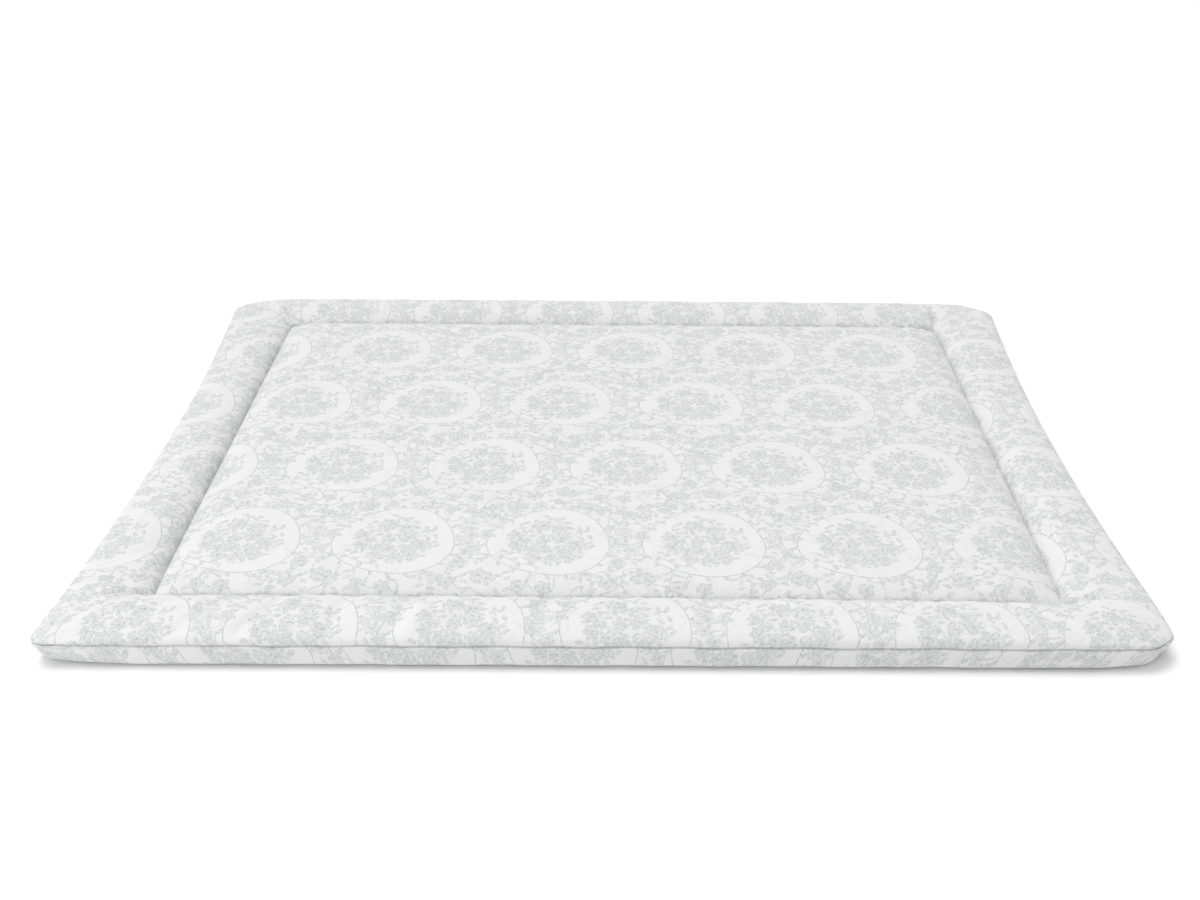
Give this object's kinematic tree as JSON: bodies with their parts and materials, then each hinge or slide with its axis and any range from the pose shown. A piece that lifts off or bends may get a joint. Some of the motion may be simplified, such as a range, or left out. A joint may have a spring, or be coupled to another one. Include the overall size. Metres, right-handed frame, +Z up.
{
  "type": "baby play mat",
  "caption": "Padded rectangular floor mat with a sewn centre panel, a soft border roll and a plain edge seam, in a pale floral print.",
  "frame": {"origin": "middle of the flat underside, on the surface that the mat lies on", "axes": "+X to the right along the long side, +Y to the back, +Z up through the padding"},
  "size_m": [0.9998, 0.8004, 0.038],
  "materials": {
    "printed_cotton": "matt woven cotton with a pale grey-green floral print on near white"
  },
  "bodies": {
    "root": {"play_mat": "printed_cotton"}
  },
  "joints": []
}
